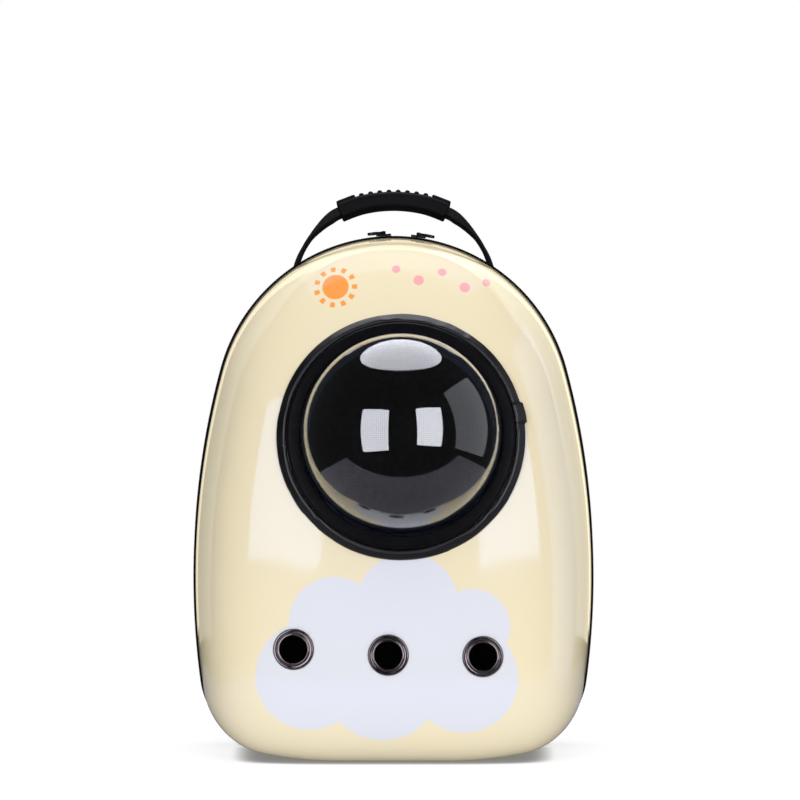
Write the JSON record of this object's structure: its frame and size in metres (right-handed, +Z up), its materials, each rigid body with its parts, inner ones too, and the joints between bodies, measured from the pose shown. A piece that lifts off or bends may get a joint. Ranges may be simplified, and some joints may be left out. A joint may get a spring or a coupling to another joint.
{
  "type": "pet carrier backpack",
  "caption": "Hard-shell pet carrier backpack with a clear domed window, metal vent grommets, a zip round its rim, a ribbed grip handle and padded shoulder straps.",
  "frame": {"origin": "on the floor, in the middle of the flat base, halfway through the body's depth", "axes": "+Z up, the window faces -Y, +X to the right of a viewer who looks at the window"},
  "size_m": [0.3196, 0.3454, 0.4486],
  "materials": {
    "shell": "glossy cream polycarbonate",
    "lining": "matt black woven lining",
    "window": "clear polished acrylic",
    "black_plastic": "satin black plastic",
    "rubber": "soft black rubber",
    "gunmetal": "dark nickel plate",
    "zip_metal": "black enamel",
    "webbing": "black nylon webbing",
    "panel_fabric": "black woven polyester",
    "padding": "black air mesh over foam"
  },
  "bodies": {
    "carrier": {"front_shell": "shell", "lining": "lining", "window_dome": "window", "window_ring": "black_plastic", "zip_coil": "black_plastic", "strap_adjuster_left": "black_plastic", "strap_adjuster_right": "black_plastic", "window_trim": "rubber", "handle_grip": "rubber", "vent_grommet_left": "gunmetal", "vent_grommet_middle": "gunmetal", "vent_grommet_right": "gunmetal", "zip_slider_left": "zip_metal", "zip_slider_right": "zip_metal", "handle_strap": "webbing", "strap_webbing_left": "webbing", "strap_webbing_right": "webbing", "back_panel": "panel_fabric", "zip_tape": "panel_fabric", "shoulder_pad_left": "padding", "shoulder_pad_right": "padding"},
    "pull_left": {"zip_pull_left": "zip_metal"},
    "pull_right": {"zip_pull_right": "zip_metal"}
  },
  "joints": [
    {"name": "zip_pull_left_turn", "type": "hinge", "parent": "carrier", "child": "pull_left", "pos_m": [-0.00813, 0.059, 0.41264], "axis": [0, 1, 0], "range_deg": [0, 160]},
    {"name": "zip_pull_right_turn", "type": "hinge", "parent": "carrier", "child": "pull_right", "pos_m": [0.02033, 0.059, 0.41145], "axis": [0, -1, 0], "range_deg": [0, 160]}
  ]
}
